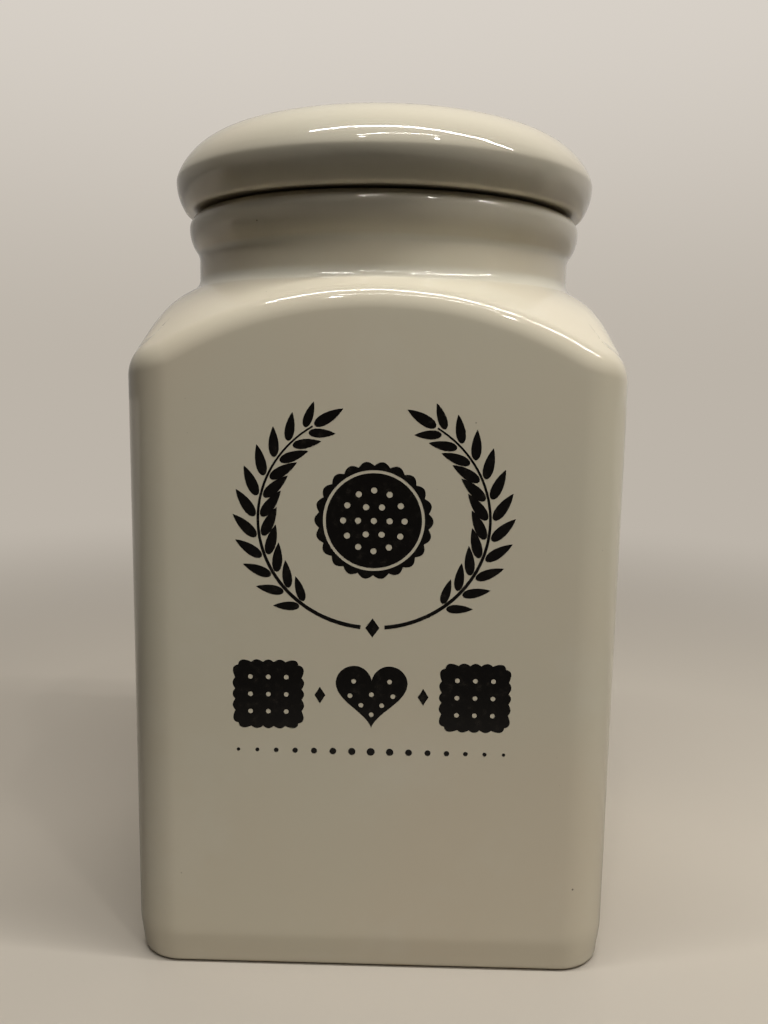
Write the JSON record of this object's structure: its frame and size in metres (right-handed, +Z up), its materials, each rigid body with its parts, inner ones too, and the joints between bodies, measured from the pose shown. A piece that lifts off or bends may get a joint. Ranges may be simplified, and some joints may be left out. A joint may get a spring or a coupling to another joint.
{
  "type": "biscuit jar",
  "caption": "Square glazed earthenware biscuit jar with a vaulted shoulder, a round neck with a rolled rim, and a lift-off rounded lid with a seal ring.",
  "frame": {"origin": "centre of the foot, on the surface the jar stands on", "axes": "+Z up through the neck and lid, -Y out of the printed front face, +X to the viewer's right"},
  "size_m": [0.128, 0.128, 0.2275],
  "materials": {
    "glaze": "glossy cream glaze over a pale earthenware body, with a dry foot",
    "lid_glaze": "glossy cream glaze over a pale earthenware body",
    "seal": "soft, milky, satin",
    "print": "black transfer fired under the clear glaze of the front face"
  },
  "bodies": {
    "jar": {"jar": "glaze"},
    "seal": {"seal_ring": "seal"},
    "lid": {"lid": "lid_glaze"}
  },
  "joints": [
    {"name": "lid_lift", "type": "slide", "parent": "jar", "child": "seal", "axis": [0, 0, 1], "range_m": [0, 0.06]},
    {"name": "lid_turn", "type": "hinge", "parent": "seal", "child": "lid", "pos_m": [0, 0, 0.2036], "axis": [0, 0, 1], "continuous": true}
  ]
}
